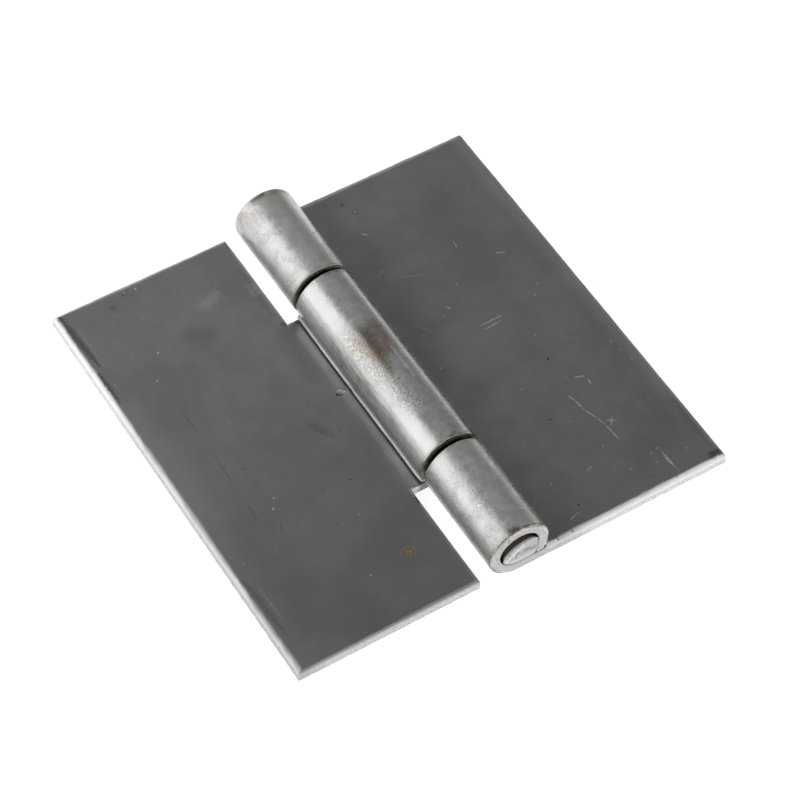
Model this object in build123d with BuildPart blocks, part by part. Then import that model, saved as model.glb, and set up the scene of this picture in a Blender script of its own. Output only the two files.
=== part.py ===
from build123d import *
import os
from math import asin, cos, degrees, radians, sin, sqrt

# A plain steel butt hinge for welding on, lying open and flat.
# Lengths are in millimetres. The pin lies along Y, Z is up, and the backs of both leaves lie on Z = 0.
# The leaf with two knuckles reaches towards +X, and the leaf with one knuckle towards -X.

# Driving dimensions
hinge_height = 80.0             # along the pin, both leaves
leaf_width = 40.0               # pin axis to the free edge of each leaf
sheet_thickness = 2.0           # both leaves are rolled from the same sheet
pin_diameter = 6.0              # round part of the pin
pin_clearance = 0.5             # all round the pin, inside the rolled knuckles
middle_knuckle_length = 38.8    # along the pin
knuckle_gap = 1.0               # along the pin, between neighbouring knuckles
barrel_setback = 0.5            # far end of the barrel inside the far edge of the leaves
barrel_relief = 1.6             # side of the barrel to the leaf edge that runs beside it
seam_gap = 0.15                 # end of the rolled curl to the face that it comes back onto
outer_straight_start = 4.0      # degrees past the side, where the curl of an outer knuckle runs on straight

# Edges that the shear leaves
leaf_edge_radius = 0.8          # drawn-in upper edge of the leaves
knuckle_rim_radius = 0.35       # outer rim at both ends of a knuckle
pin_end_radius = 0.35           # edge of the cropped pin

# Pressed ends, which keep the pin in the outer knuckles
pressed_length = 2.6            # along the pin, from round to oval
pressed_depth = 2.9             # taken off the pin's diameter, the short way of the oval
pressed_side_gap = 0.15         # each end of the oval's long way to the bore, if it lay on the axis
pressed_seat_gap = 0.06         # the oval to the bore where it lies nearest
pressed_lean = 22.0             # degrees, the oval's turn about the pin axis
pin_end_recess = 0.2            # face of the pin inside the knuckle's end

# Derived sizes
bore_radius = pin_diameter / 2 + pin_clearance
barrel_radius = bore_radius + sheet_thickness
axis_height = barrel_radius
plate_start = barrel_radius + barrel_relief
barrel_length = hinge_height - barrel_setback
barrel_middle = -barrel_setback / 2
outer_knuckle_length = (barrel_length - middle_knuckle_length) / 2 - knuckle_gap
strip_overlap = 2 * leaf_edge_radius
pin_length = barrel_length - 2 * pin_end_recess
oval_half_width = bore_radius - pressed_side_gap
oval_half_height = (pin_diameter - pressed_depth) / 2

# The oval drops from the axis until it touches the bore, less the seat gap, at two places low on its sides.
seat_radius = bore_radius - pressed_seat_gap
oval_focus = sqrt(oval_half_width**2 - oval_half_height**2)
oval_drop = oval_focus * sqrt(seat_radius**2 - oval_half_width**2) / oval_half_width

lean = radians(pressed_lean)
oval_centre = (oval_drop * sin(lean), axis_height - oval_drop * cos(lean))

# The curl starts straight below the pin axis, passes over the top and comes back down onto its own leaf.
# Its cut end stops where its outer corner is one seam gap above the leaf.
# The middle knuckle stays round to there, and the outer knuckles run straight from just past the side.
curl_end_height = sheet_thickness + seam_gap
middle_round_end = degrees(asin((axis_height - curl_end_height) / barrel_radius))


def rolled_strip(side, round_end):
    """Section across a knuckle, for a leaf that reaches to +X (1) or -X (-1): the flat strip and its curl.

    The curl is round until round_end degrees past the side of the barrel, and straight from there.
    """
    strip_end = side * (plate_start + strip_overlap)
    axis = (0, axis_height)
    slope = radians(round_end)
    straight = (axis_height - barrel_radius * sin(slope) - curl_end_height) / cos(slope)
    run = Vector(-side * sin(slope), -cos(slope)) * straight
    with BuildSketch() as section:
        with BuildLine():
            outside = CenterArc(axis, barrel_radius, 270, -side * (270 + round_end))
            inside = CenterArc(axis, bore_radius, 270, -side * (270 + round_end))
            if straight > seam_gap:
                Polyline(outside @ 1, outside @ 1 + run, inside @ 1 + run, inside @ 1)
            else:
                Line(outside @ 1, inside @ 1)
            Polyline(outside @ 0, (strip_end, 0), (strip_end, sheet_thickness), inside @ 0)
        make_face()
    return section.sketch


def rim_edges(knuckles):
    """Curved outer edges at the ends of the knuckles."""
    return knuckles.edges().filter_by(GeomType.CIRCLE).filter_by(lambda rim: rim.radius > bore_radius + seam_gap)


# Two knuckles at the ends of the barrel
with BuildPart() as outer_knuckles:
    for near_end in (-hinge_height / 2, hinge_height / 2 - barrel_setback - outer_knuckle_length):
        with BuildSketch(Plane.XZ.offset(-near_end)):
            add(rolled_strip(1, outer_straight_start))
        extrude(amount=-outer_knuckle_length)
    fillet(rim_edges(outer_knuckles), knuckle_rim_radius)

# One knuckle at the middle of the barrel
with BuildPart() as middle_knuckle:
    with BuildSketch(Plane.XZ.offset(-barrel_middle)):
        add(rolled_strip(-1, middle_round_end))
    extrude(amount=middle_knuckle_length / 2, both=True)
    fillet(rim_edges(middle_knuckle), knuckle_rim_radius)

# Leaf with the two outer knuckles
with BuildPart() as two_knuckle_leaf:
    with BuildSketch():
        with Locations((plate_start, 0)):
            Rectangle(leaf_width - plate_start, hinge_height, align=(Align.MIN, Align.CENTER))
    extrude(amount=sheet_thickness)
    fillet(two_knuckle_leaf.edges().group_by(Axis.Z)[-1], leaf_edge_radius)
    add(outer_knuckles.part)

# Leaf with the middle knuckle
with BuildPart() as one_knuckle_leaf:
    with BuildSketch():
        with Locations((-plate_start, 0)):
            Rectangle(leaf_width - plate_start, hinge_height, align=(Align.MAX, Align.CENTER))
    extrude(amount=sheet_thickness)
    fillet(one_knuckle_leaf.edges().group_by(Axis.Z)[-1], leaf_edge_radius)
    add(middle_knuckle.part)

# Pin: cropped rod, with both ends pressed to an oval that lies low in the bore
with BuildPart() as hinge_pin:
    round_half = pin_length / 2 - pressed_length
    with BuildSketch(Plane.XZ.offset(-barrel_middle)):
        with Locations((0, axis_height)):
            Circle(pin_diameter / 2)
    extrude(amount=round_half, both=True)
    for end in (-1, 1):
        with BuildSketch(Plane.XZ.offset(end * round_half - barrel_middle)):
            with Locations((0, axis_height)):
                Circle(pin_diameter / 2)
        with BuildSketch(Plane.XZ.offset(end * pin_length / 2 - barrel_middle)):
            with Locations(oval_centre):
                Ellipse(oval_half_width, oval_half_height, rotation=pressed_lean)
        loft()
    end_faces = hinge_pin.faces().sort_by(Axis.Y)
    fillet(end_faces[0].edges() + end_faces[-1].edges(), pin_end_radius)

os.makedirs("parts", exist_ok=True)
two_knuckle_leaf.part.label = "two_knuckle_leaf"
export_step(two_knuckle_leaf.part, "parts/two_knuckle_leaf.step")
one_knuckle_leaf.part.label = "one_knuckle_leaf"
export_step(one_knuckle_leaf.part, "parts/one_knuckle_leaf.step")
hinge_pin.part.label = "hinge_pin"
export_step(hinge_pin.part, "parts/hinge_pin.step")
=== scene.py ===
import math

import bmesh
import bpy
import numpy as np
from mathutils import Matrix, Vector


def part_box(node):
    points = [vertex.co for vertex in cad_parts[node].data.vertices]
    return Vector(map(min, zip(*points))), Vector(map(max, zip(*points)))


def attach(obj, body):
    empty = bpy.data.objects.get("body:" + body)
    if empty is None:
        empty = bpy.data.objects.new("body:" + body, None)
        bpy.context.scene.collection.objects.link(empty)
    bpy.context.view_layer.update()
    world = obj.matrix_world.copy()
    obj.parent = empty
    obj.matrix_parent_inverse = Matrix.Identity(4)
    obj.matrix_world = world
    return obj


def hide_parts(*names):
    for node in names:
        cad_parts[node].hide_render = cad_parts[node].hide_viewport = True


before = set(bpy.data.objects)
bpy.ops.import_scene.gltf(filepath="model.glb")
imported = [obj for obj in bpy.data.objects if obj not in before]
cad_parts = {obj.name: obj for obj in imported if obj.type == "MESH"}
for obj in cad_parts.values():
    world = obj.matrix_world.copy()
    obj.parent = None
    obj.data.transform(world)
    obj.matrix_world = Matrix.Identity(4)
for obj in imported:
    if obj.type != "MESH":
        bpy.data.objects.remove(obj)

# A plain steel butt hinge for welding on, lying open and flat on a white floor.
# Sizes are in millimetres here and become metres in the meshes.
# The pin lies along Y and the leaf backs are on Z = 0.
MM = 0.001


def packed(node, axis):
    """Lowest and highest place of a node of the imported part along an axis, to a tenth of a millimetre."""
    return [round(corner[axis] / MM, 1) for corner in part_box(node)]


# Sizes of the hinge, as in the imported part
NEAR_SIDE, FAR_SIDE = packed("two_knuckle_leaf", 1)     # ends of the leaves, along the pin
LEAF_WIDTH = packed("two_knuckle_leaf", 0)[1]           # pin axis to the free edge
BARREL_RADIUS = packed("one_knuckle_leaf", 0)[1]        # outside of the rolled knuckles
SHEET_THICKNESS = 2.0
TOP = SHEET_THICKNESS           # upper face of both leaves
BORE_RADIUS = BARREL_RADIUS - SHEET_THICKNESS
PIN_RADIUS = 3.0
PLATE_START = 7.1               # pin axis to the leaf edge beside the barrel
NEAR_KNUCKLE = (NEAR_SIDE, -20.65)  # ends of each knuckle along the pin
MIDDLE_KNUCKLE = (-19.65, 19.15)
FAR_KNUCKLE = (20.15, 39.5)
KNUCKLE_GAPS = ((NEAR_KNUCKLE[1] + MIDDLE_KNUCKLE[0]) / 2, (MIDDLE_KNUCKLE[1] + FAR_KNUCKLE[0]) / 2)
KNUCKLE_WAVES = 0.012           # unevenness that the rolling left on the knuckles
BURR_PLACE = 0.6                # ridge of the burr to the sheared end
BURR_HALF_WIDTH = 0.3
SHEAR_REACH = 1.8               # how far from the edge the faces follow the shear's line
ROLL_INSET = 0.006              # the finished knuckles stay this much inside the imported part
NEUTRAL_RADIUS = BARREL_RADIUS - SHEET_THICKNESS / 2    # middle line of the curl, which keeps its length
SEAM_GAP = 0.07                 # end of the curl to the leaf below it
OUTER_ROUND_END = 4.0           # degrees past the side, where an outer knuckle's curl runs straight
MIDDLE_ROUND_END = 16.0         # the same for the middle knuckle

# Pressed ends of the pin
PIN_HALF_LENGTH = 39.67
PIN_MIDDLE = -0.25
PRESSED_LENGTH = 2.6
OVAL_HALF_WIDTH = 3.35
OVAL_HALF_HEIGHT = 1.55
OVAL_LEAN = 22.0                # degrees
OVAL_DROP = 0.69                # below the pin axis, square to the oval's long way
PIN_RIM = 0.07
PIN_SEAT_GAP = 0.03             # pressed end to the bore that it was pressed down on

# Mesh spacing
EDGE_STEPS = (0.0, 0.04, 0.09, 0.14, 0.2, 0.27, 0.34, 0.42, 0.5, 0.6, 0.72, 0.86, 1.02, 1.2, 1.5, 1.9)
PLATE_STEP = 0.5
ROLL_STEP = 0.3
WALL_ROWS = 9
CELL_CORNERS = ((0, 0), (1, 0), (1, 1), (0, 1))

# Width and depth of the edges that the shear rounds: on the plate, beside the barrel and on the knuckles
PLATE_LOWER = (0.12, 0.06)
SLOT_UPPER = (0.45, 0.25)
SLOT_LOWER = (0.1, 0.05)
RIM_INNER = (0.3, 0.18)
RIM_OUTER = (0.22, 0.14)
SEEDS_PER_EDGE = 40

# Random lines: how many knots each has, and where on it the middle of the hinge lies
WANDER_KNOTS = 4096
WANDER_START = 700.3

# Rows of rings that make the pin
ROUND_RINGS = 90
PRESSED_RINGS = 14
RIM_RINGS = 6
FACE_RINGS = 26
RING_POINTS = 160

# White floor, in metres
FLOOR_HALF = 3.0
FLOOR_LEVEL = -0.00003          # just under the leaf backs
FLOOR_TONE = 0.45
FLOOR_WHITE = 0.82              # what the floor adds to its own tone to look white

# Camera, fitted to the corners and edges of the hinge
CAMERA_PLACE = (-160.15, -244.86, 393.91)
CAMERA_RIGHT = (0.84986, -0.52643, 0.02471)
CAMERA_FORWARD = (0.32982, 0.49473, -0.80403)
CAMERA_LENS = 134.97

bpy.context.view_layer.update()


# Small helpers for the meshes


def wander(along, wavelength, seed):
    """A smooth random line from -1 to 1 at the places along, with about one swing in each wavelength."""
    knots = np.random.RandomState(seed).uniform(-1, 1, WANDER_KNOTS)
    place = np.asarray(along, float) / wavelength + WANDER_START
    low = np.floor(place).astype(int)
    part = place - low
    part = part * part * (3 - 2 * part)
    return knots[low % WANDER_KNOTS] * (1 - part) + knots[(low + 1) % WANDER_KNOTS] * part


def graded_lines(low, high, stops, coarse, extra=()):
    """Places from low to high for the mesh lines: close together beside each stop and coarse elsewhere."""
    wanted = {round(low, 4), round(high, 4)}
    for stop in stops:
        for step in EDGE_STEPS:
            for place in (stop - step, stop + step):
                if low <= place <= high:
                    wanted.add(round(place, 4))
    wanted.update(round(place, 4) for place in extra)
    lines = []
    for place in sorted(wanted):
        if lines:
            parts = max(1, math.ceil((place - lines[-1]) / coarse - 0.01))
            lines.extend(np.linspace(lines[-1], place, parts + 1)[1:-1])
        lines.append(place)
    return np.array(lines)


class Edge:
    """One sheared edge of a blank: where it runs, and how far the shear drew its upper and lower face in."""

    def __init__(self, across, place, start, stop, inward, upper, lower, bare, burr=0.0, crisp=2.2):
        self.across = across        # 0 when the edge lies at one distance from the pin, 1 when at one height
        self.place = place
        self.start = start
        self.stop = stop
        self.inward = inward        # +1 or -1, the direction into the sheet
        self.upper = upper          # width and depth of the drawn-in upper face
        self.lower = lower          # width and depth of the rounded lower face
        self.bare = bare            # 0 to 1, how bright the drawn-in band is worn
        self.seed = 0               # the blank gives each edge its own
        self.burr = burr            # height of the ridge that the shear pushed up on the lower face
        self.crisp = crisp          # how suddenly the worn band begins

    def reach(self, points):
        """How far each point is from the edge, and its place along it."""
        into = (points[:, self.across] - self.place) * self.inward
        along = points[:, 1 - self.across]
        beyond = np.maximum(np.maximum(self.start - along, along - self.stop), 0)
        away = np.hypot(into, beyond)
        away[(into < -0.001) & (beyond < 0.001)] = 1e3
        return away, along

    def profile(self, away, along, size, seed):
        """Drop of the face near the edge: a quarter of an oval whose size wanders along the edge."""
        width = size[0] * (1 + 0.16 * wander(along, 7.0, seed) + 0.10 * wander(along, 1.3, seed + 1))
        depth = size[1] * (1 + 0.14 * wander(along, 5.0, seed + 2) + 0.10 * wander(along, 0.9, seed + 3))
        near = np.clip(1 - away / width, 0, 1)
        sloped = near * near / (near + 0.12)
        return depth * (0.5 * (1 - np.sqrt(1 - near * near)) + 0.5 * sloped), near

    def ridge(self, away, along):
        """Height of the burr on the lower face: a narrow ridge beside the edge."""
        swell = 1 + 0.07 * wander(along, 5.0, self.seed + 30) + 0.05 * wander(along, 0.9, self.seed + 31)
        return self.burr * swell * np.exp(-((away - BURR_PLACE) / BURR_HALF_WIDTH) ** 2)

    def shear_line(self, along):
        """How far inside the edge the shear ran: nearly straight above, and nicked below."""
        straight = 0.02 + 0.012 * (1 + wander(along, 6.0, self.seed + 20))
        nicked = 0.03 + 0.03 * (1 + wander(along, 0.8, self.seed + 21))
        nicked += 0.12 * np.clip(wander(along, 0.9, self.seed + 22) - 0.72, 0, 1) / 0.28
        return straight, nicked


class Blank:
    """The punched flat sheet of one leaf, before its knuckles are rolled.

    Its coordinates are the distance from the pin axis towards the free edge, the height along the pin,
    and the height over the back of the sheet.
    """

    def __init__(self, tongues, length, edges, first_seed, dents=(), fine_heights=()):
        self.tongues = tongues
        self.edges = edges
        self.dents = dents
        for k, edge in enumerate(edges):
            edge.seed = first_seed + SEEDS_PER_EDGE * k
        ends = (NEAR_SIDE, FAR_SIDE)
        stops = sorted({*ends, *(side for tongue in tongues for side in tongue)})
        self.heights = graded_lines(*ends, stops, PLATE_STEP, fine_heights)
        roll = graded_lines(-length, 0, [-length], ROLL_STEP)
        flat = graded_lines(0, LEAF_WIDTH, [PLATE_START, LEAF_WIDTH], PLATE_STEP)
        self.distances = np.concatenate([roll, flat[1:]])

    def cells(self):
        """Which cells of the grid are steel: the plate, and the tongues that get rolled."""
        across = (self.distances[1:] + self.distances[:-1]) / 2
        up = (self.heights[1:] + self.heights[:-1]) / 2
        plate = np.repeat((across > PLATE_START)[:, None], len(up), axis=1)
        tongue = np.zeros_like(plate)
        for low, high in self.tongues:
            tongue |= (across < PLATE_START)[:, None] & ((up > low) & (up < high))[None, :]
        return plate | tongue

    def corners(self, steel):
        """The number in the mesh of each grid corner that the steel uses, and its place on the blank."""
        used = np.zeros((len(self.distances), len(self.heights)), bool)
        for di, dj in CELL_CORNERS:
            used[di:di + steel.shape[0], dj:dj + steel.shape[1]] |= steel
        number = -np.ones(used.shape, int)
        number[used] = np.arange(used.sum())
        where = np.argwhere(used)
        return number, np.column_stack([self.distances[where[:, 0]], self.heights[where[:, 1]]])

    def boundary(self, steel, number):
        """Grid edges between steel and air, each with its two corners in order and its outward direction."""
        padded = np.pad(steel, 1)
        sides = (((0, 1), (0, 0), (0, 1), (-1, 0)), ((2, 1), (1, 1), (1, 0), (1, 0)),
                 ((1, 0), (1, 0), (0, 0), (0, -1)), ((1, 2), (0, 1), (1, 1), (0, 1)))
        found = []
        for i, j in np.argwhere(steel):
            for beside, first, last, out in sides:
                if not padded[i + beside[0], j + beside[1]]:
                    found.append((number[i + first[0], j + first[1]], number[i + last[0], j + last[1]], out))
        return found

    def faces(self, flat):
        """Points of the upper and the lower face over the flat grid, and how bright each is worn."""
        upper_drop = np.zeros(len(flat))
        lower_drop = ROLL_INSET * np.clip(-flat[:, 0], 0, 1)
        upper_worn = np.zeros(len(flat))
        lower_worn = np.zeros(len(flat))
        upper_shift = np.zeros((len(flat), 2))
        lower_shift = np.zeros((len(flat), 2))
        for edge in self.edges:
            away, along = edge.reach(flat)
            drop, near = edge.profile(away, along, edge.upper, edge.seed)
            upper_drop = np.hypot(upper_drop, drop)
            upper_worn = np.maximum(upper_worn, edge.bare * np.clip(near * edge.crisp, 0, 1))
            drop, near = edge.profile(away, along, edge.lower, edge.seed + 10)
            lower_drop = np.hypot(lower_drop, drop)
            if edge.burr:
                lower_drop -= edge.ridge(away, along)
                lower_worn = np.maximum(lower_worn, np.clip((BURR_PLACE + 0.32 - away) / 0.1, 0, 1))
            fade = np.clip(1 - away / SHEAR_REACH, 0, 1) ** 2
            straight, nicked = edge.shear_line(along)
            upper_shift[:, edge.across] += edge.inward * straight * fade
            lower_shift[:, edge.across] += edge.inward * nicked * fade
        for dent in self.dents:
            upper_drop += dent(flat)
        across, up = flat.T
        waves = wander(across * 0.6 + up * 0.35, 1.7, 800) * wander(up * 0.5 - across * 0.4, 1.9, 801)
        lower_drop += KNUCKLE_WAVES * np.clip(-across / 2, 0, 1) * (1 + waves)
        upper = np.column_stack([flat + upper_shift, SHEET_THICKNESS - np.clip(upper_drop, -0.05, 0.9)])
        lower = np.column_stack([flat + lower_shift, np.clip(lower_drop, -0.5, 0.6)])
        return upper, lower, upper_worn, lower_worn

    def wall(self, upper, lower, outward, along):
        """Rows of points down the sheared wall, cut smooth above and torn a little further in below."""
        rows = []
        for row in range(1, WALL_ROWS):
            part = row / WALL_ROWS
            points = upper * (1 - part) + lower * part
            tear = np.clip((part - 0.38 - 0.08 * wander(along, 1.7, 91)) / 0.12, 0, 1)
            recess = 0.035 * tear * (1 + wander(along, 0.55, 120 + row) * 0.8)
            points[:, :2] -= outward * np.maximum(recess, 0)[:, None]
            rows.append(points)
        return rows

    def mesh(self, name):
        """Both faces and the wall between them, with the marks that the rolling and the finish read."""
        steel = self.cells()
        number, flat = self.corners(steel)
        count = len(flat)
        upper, lower, upper_worn, lower_worn = self.faces(flat)
        cell = np.argwhere(steel)
        corner = [number[cell[:, 0] + di, cell[:, 1] + dj] for di, dj in CELL_CORNERS]
        quads = [np.column_stack(corner), np.column_stack(corner[::-1]) + count]

        boundary = self.boundary(steel, number)
        rim = np.array(sorted({end for first, last, out in boundary for end in (first, last)}))
        on_rim = {end: k for k, end in enumerate(rim)}
        outward = np.zeros((len(rim), 2))
        for first, last, out in boundary:
            for end in (first, last):
                outward[on_rim[end]] += np.array(out) / 2
        along = flat[rim, 0] * 0.83 + flat[rim, 1]
        points = np.concatenate([upper, lower] + self.wall(upper[rim], lower[rim], outward, along))
        between = 2 * count + np.arange((WALL_ROWS - 1) * len(rim)).reshape(-1, len(rim))
        ladder = np.concatenate([rim[None], between, rim[None] + count])
        for first, last, out in boundary:
            one, two = ladder[:, [on_rim[first], on_rim[last]]].T
            quads.append(np.column_stack([one[:-1], two[:-1], two[1:], one[1:]]))

        sheared = np.zeros(len(points))
        sheared[ladder] = 1.0
        sheared[ladder[[0, -1]]] = 0.5
        torn = np.zeros(len(points))
        torn[ladder] = np.arange(WALL_ROWS + 1)[:, None] / WALL_ROWS
        worn = np.zeros(len(points))
        worn[:2 * count] = np.concatenate([upper_worn, lower_worn])
        mesh = bpy.data.meshes.new(name)
        mesh.from_pydata((points * MM).tolist(), [], np.concatenate(quads).tolist())
        for key, values in (("blank", points * MM), ("sheared", sheared), ("torn", torn), ("worn", worn)):
            add_values(mesh, key, values)
        return mesh


def add_object(name, data):
    """A new object in the scene."""
    made = bpy.data.objects.new(name, data)
    bpy.context.scene.collection.objects.link(made)
    return made


def add_values(mesh, name, values):
    """Keeps a number or a vector at every point of the mesh, for the nodes to read."""
    vector = values.ndim == 2
    layer = mesh.attributes.new(name, "FLOAT_VECTOR" if vector else "FLOAT", "POINT")
    layer.data.foreach_set("vector" if vector else "value", np.ascontiguousarray(values, np.float32).ravel())


def clean_mesh(mesh, crease=40.0):
    """Faces outwards, smooth, with sharp edges only where the sheet has a real corner."""
    shape = bmesh.new()
    shape.from_mesh(mesh)
    bmesh.ops.remove_doubles(shape, verts=shape.verts, dist=1e-7)
    bmesh.ops.recalc_face_normals(shape, faces=shape.faces)
    shape.to_mesh(mesh)
    shape.free()
    mesh.polygons.foreach_set("use_smooth", [True] * len(mesh.polygons))
    mesh.set_sharp_from_angle(angle=math.radians(crease))
    mesh.update()


# Node helpers


class Bench:
    """Empties a tree and adds nodes to it. An input is a plain value, or the output of another node."""

    def __init__(self, tree):
        self.tree = tree
        tree.nodes.clear()

    def node(self, kind, inputs=(), **settings):
        made = self.tree.nodes.new(kind)
        for key, value in settings.items():
            setattr(made, key, value)
        for key, value in dict(inputs).items():
            self.join(value, made.inputs[key])
        return made

    def join(self, value, socket):
        if isinstance(value, bpy.types.Node):
            value = next(out for out in value.outputs if out.enabled)
        if isinstance(value, bpy.types.NodeSocket):
            self.tree.links.new(value, socket)
        elif value is not None:
            socket.default_value = value

    def math(self, operation, *values, clamp=False):
        made = self.node("ShaderNodeMath", operation=operation, use_clamp=clamp)
        for socket, value in zip(made.inputs, values):
            self.join(value, socket)
        return made.outputs[0]

    def plus(self, first, second):
        return self.math("ADD", first, second)

    def minus(self, first, second):
        return self.math("SUBTRACT", first, second)

    def times(self, first, second):
        return self.math("MULTIPLY", first, second)

    def most(self, first, second):
        return self.math("MAXIMUM", first, second)

    def vector(self, operation, *values, out="Vector"):
        made = self.node("ShaderNodeVectorMath", operation=operation)
        if operation == "SCALE":
            self.join(values[0], made.inputs[0])
            self.join(values[1], made.inputs["Scale"])
            return made.outputs[out]
        for socket, value in zip(made.inputs, values):
            self.join(value, socket)
        return made.outputs[out]

    def fade(self, value, low, high, to_low=0.0, to_high=1.0):
        """Goes smoothly from to_low to to_high as the value goes from low to high."""
        made = self.node("ShaderNodeMapRange", interpolation_type="SMOOTHSTEP")
        for socket, part in zip(made.inputs, (value, low, high, to_low, to_high)):
            self.join(part, socket)
        return made.outputs[0]

    def blend(self, factor, first, second, how="MIX"):
        made = self.node("ShaderNodeMix", data_type="RGBA", blend_type=how, clamp_factor=True)
        self.join(factor, made.inputs["Factor"])
        self.join(colour(first), made.inputs[6])
        self.join(colour(second), made.inputs[7])
        return made.outputs[2]


def colour(value):
    """Three numbers as a colour with full opacity."""
    return (*value, 1.0) if isinstance(value, tuple) and len(value) == 3 else value


def grey(level):
    return (level, level, level)


# Rolling the knuckles


def roll_tree():
    """Geometry Nodes that roll the tongues of a flat blank round the pin axis into knuckles."""
    tree = bpy.data.node_groups.new("roll sheet", "GeometryNodeTree")
    for name, kind in (("Flat blank", "NodeSocketGeometry"), ("Barrel radius", "NodeSocketFloat"),
                       ("Neutral radius", "NodeSocketFloat"), ("Round until", "NodeSocketFloat"),
                       ("Side", "NodeSocketFloat"), ("Finish", "NodeSocketMaterial")):
        tree.interface.new_socket(name, in_out="INPUT", socket_type=kind)
    tree.interface.new_socket("Rolled leaf", in_out="OUTPUT", socket_type="NodeSocketGeometry")
    bench = Bench(tree)
    given = bench.node("NodeGroupInput").outputs
    blank = bench.node("GeometryNodeInputNamedAttribute", {"Name": "blank"}, data_type="FLOAT_VECTOR")
    parts = bench.node("ShaderNodeSeparateXYZ", {"Vector": blank}).outputs
    rolled = bench.most(bench.times(parts["X"], -1.0), 0.0)
    plate = bench.most(parts["X"], 0.0)
    turn = bench.math("MINIMUM", bench.math("DIVIDE", rolled, given["Neutral radius"]), given["Round until"])
    straight = bench.most(bench.minus(rolled, bench.times(turn, given["Neutral radius"])), 0.0)
    radius = bench.minus(given["Barrel radius"], parts["Z"])
    sine = bench.math("SINE", turn)
    cosine = bench.math("COSINE", turn)
    out = bench.plus(bench.times(radius, sine), bench.times(straight, cosine))
    across = bench.times(given["Side"], bench.minus(plate, out))
    up = bench.minus(given["Barrel radius"], bench.times(radius, cosine))
    up = bench.plus(up, bench.times(straight, sine))
    place = bench.node("ShaderNodeCombineXYZ", {"X": across, "Y": parts["Y"], "Z": up})
    moved = bench.node("GeometryNodeSetPosition", {"Geometry": given["Flat blank"], "Position": place})
    whole = bench.node("GeometryNodeRealizeInstances", {"Geometry": moved})
    finished = bench.node("GeometryNodeSetMaterial", {"Geometry": whole, "Material": given["Finish"]})
    bench.node("NodeGroupOutput", {"Rolled leaf": finished})
    return tree


def roll(name, blank_mesh, tree, round_until, side, finish):
    """The leaf as a plain mesh, with its tongues rolled into knuckles."""
    flat = add_object(name + "_blank", blank_mesh)
    rolling = flat.modifiers.new("roll", "NODES")
    rolling.node_group = tree
    wanted = {"Barrel radius": BARREL_RADIUS * MM, "Neutral radius": NEUTRAL_RADIUS * MM,
              "Round until": math.radians(round_until), "Side": float(side), "Finish": finish}
    for item in tree.interface.items_tree:
        if item.item_type == "SOCKET" and item.in_out == "INPUT" and item.name in wanted:
            rolling[item.identifier] = wanted[item.name]
    ready = flat.evaluated_get(bpy.context.evaluated_depsgraph_get())
    mesh = bpy.data.meshes.new_from_object(ready)
    mesh.name = name
    bpy.data.objects.remove(flat)
    leaf = add_object(name, mesh)
    clean_mesh(mesh)
    return leaf


# The two leaves


def dent(across, height, long_half, short_half, turn, depth):
    """A dent in the upper face, as a function that gives its depth at each point of the blank."""
    cosine = math.cos(math.radians(turn))
    sine = math.sin(math.radians(turn))

    def depth_at(points):
        away = points - np.array([across, height])
        along = (away[:, 0] * cosine + away[:, 1] * sine) / long_half
        beside = (-away[:, 0] * sine + away[:, 1] * cosine) / short_half
        return depth * np.exp(-((along ** 2 + beside ** 2) ** 1.5))

    return depth_at


def tongue_length(round_end):
    """Length of sheet in a tongue that is round until round_end and then runs straight down to the leaf."""
    slope = math.radians(round_end)
    drop = BARREL_RADIUS - BARREL_RADIUS * math.sin(slope) - SHEET_THICKNESS - SEAM_GAP
    return math.radians(270 + round_end) * NEUTRAL_RADIUS + drop / math.cos(slope)


def one_knuckle_blank():
    """Flat blank of the left leaf, with one wide tongue at the middle, and how far round it is rolled."""
    near, far = MIDDLE_KNUCKLE
    length = tongue_length(MIDDLE_ROUND_END)
    edges = [
        Edge(0, LEAF_WIDTH, NEAR_SIDE, FAR_SIDE, -1, (1.05, 0.5), PLATE_LOWER, 0.78),
        Edge(1, NEAR_SIDE, PLATE_START, LEAF_WIDTH, 1, (0.65, 0.3), PLATE_LOWER, 0.42, crisp=7.0),
        Edge(1, FAR_SIDE, PLATE_START, LEAF_WIDTH, -1, (0.7, 0.35), PLATE_LOWER, 0.3),
        Edge(0, PLATE_START, NEAR_SIDE, near, 1, SLOT_UPPER, SLOT_LOWER, 0.3),
        Edge(0, PLATE_START, far, FAR_SIDE, 1, SLOT_UPPER, SLOT_LOWER, 0.3),
        Edge(1, near, -length, PLATE_START, 1, RIM_INNER, RIM_OUTER, 0.3),
        Edge(1, far, -length, PLATE_START, -1, RIM_INNER, RIM_OUTER, 0.3),
        Edge(0, -length, near, far, 1, (0.15, 0.1), (0.2, 0.12), 0.0, burr=0.46),
    ]
    gouge = [dent(6.9, 2.65, 0.8, 0.5, 12, 0.34), dent(6.9, 2.42, 0.62, 0.26, 14, 0.14)]
    beside_gouge = [2.75 + 0.12 * k for k in range(-10, 11)]
    return Blank([MIDDLE_KNUCKLE], length, edges, 11, gouge, beside_gouge), 270 + MIDDLE_ROUND_END


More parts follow.
